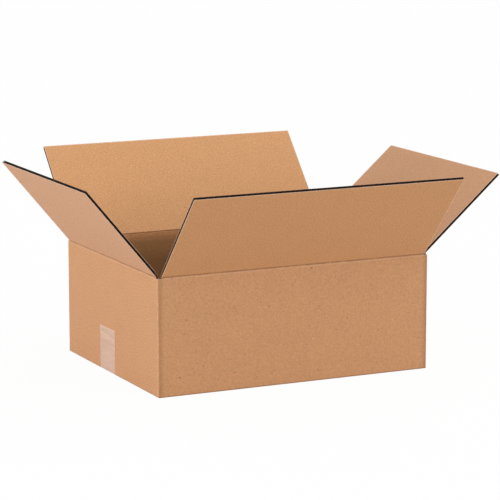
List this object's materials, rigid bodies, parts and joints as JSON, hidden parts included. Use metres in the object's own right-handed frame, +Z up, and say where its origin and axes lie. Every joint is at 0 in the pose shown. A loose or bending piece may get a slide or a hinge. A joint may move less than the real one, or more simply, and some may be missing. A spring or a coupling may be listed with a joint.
{
  "type": "open cardboard carton",
  "caption": "Open rectangular cardboard carton with a taped, folded bottom and hinged top flaps that lean outwards, fold closed over it or hang down outside.",
  "frame": {"origin": "on the floor under the middle of the carton's bottom, on the underside of the tape that is flush with it", "axes": "+X along the carton's length to the right, +Y from the front long wall to the back one, +Z up"},
  "size_m": [0.6117, 0.52, 0.279],
  "materials": {
    "board": "plain brown kraft liner, matt, faintly ribbed by the flutes",
    "tape": "clear film tape, slightly frosted over the board"
  },
  "bodies": {
    "box": {"carton": "board", "bottom_tape": "tape"},
    "front": {"front_flap": "board"},
    "back": {"back_flap": "board"},
    "left": {"left_flap": "board"},
    "right": {"right_flap": "board"}
  },
  "joints": [
    {"name": "front_fold", "type": "hinge", "parent": "box", "child": "front", "pos_m": [0, -0.1565, 0.16], "axis": [1, 0, 0], "range_deg": [-131.5, 137.5]},
    {"name": "back_fold", "type": "hinge", "parent": "box", "child": "back", "pos_m": [0, 0.1565, 0.16], "axis": [-1, 0, 0], "range_deg": [-132, 137]},
    {"name": "left_fold", "type": "hinge", "parent": "box", "child": "left", "pos_m": [-0.2, 0, 0.1576], "axis": [0, -1, 0], "range_deg": [-130, 139]},
    {"name": "right_fold", "type": "hinge", "parent": "box", "child": "right", "pos_m": [0.2, 0, 0.15775], "axis": [0, 1, 0], "range_deg": [-139, 130]}
  ]
}
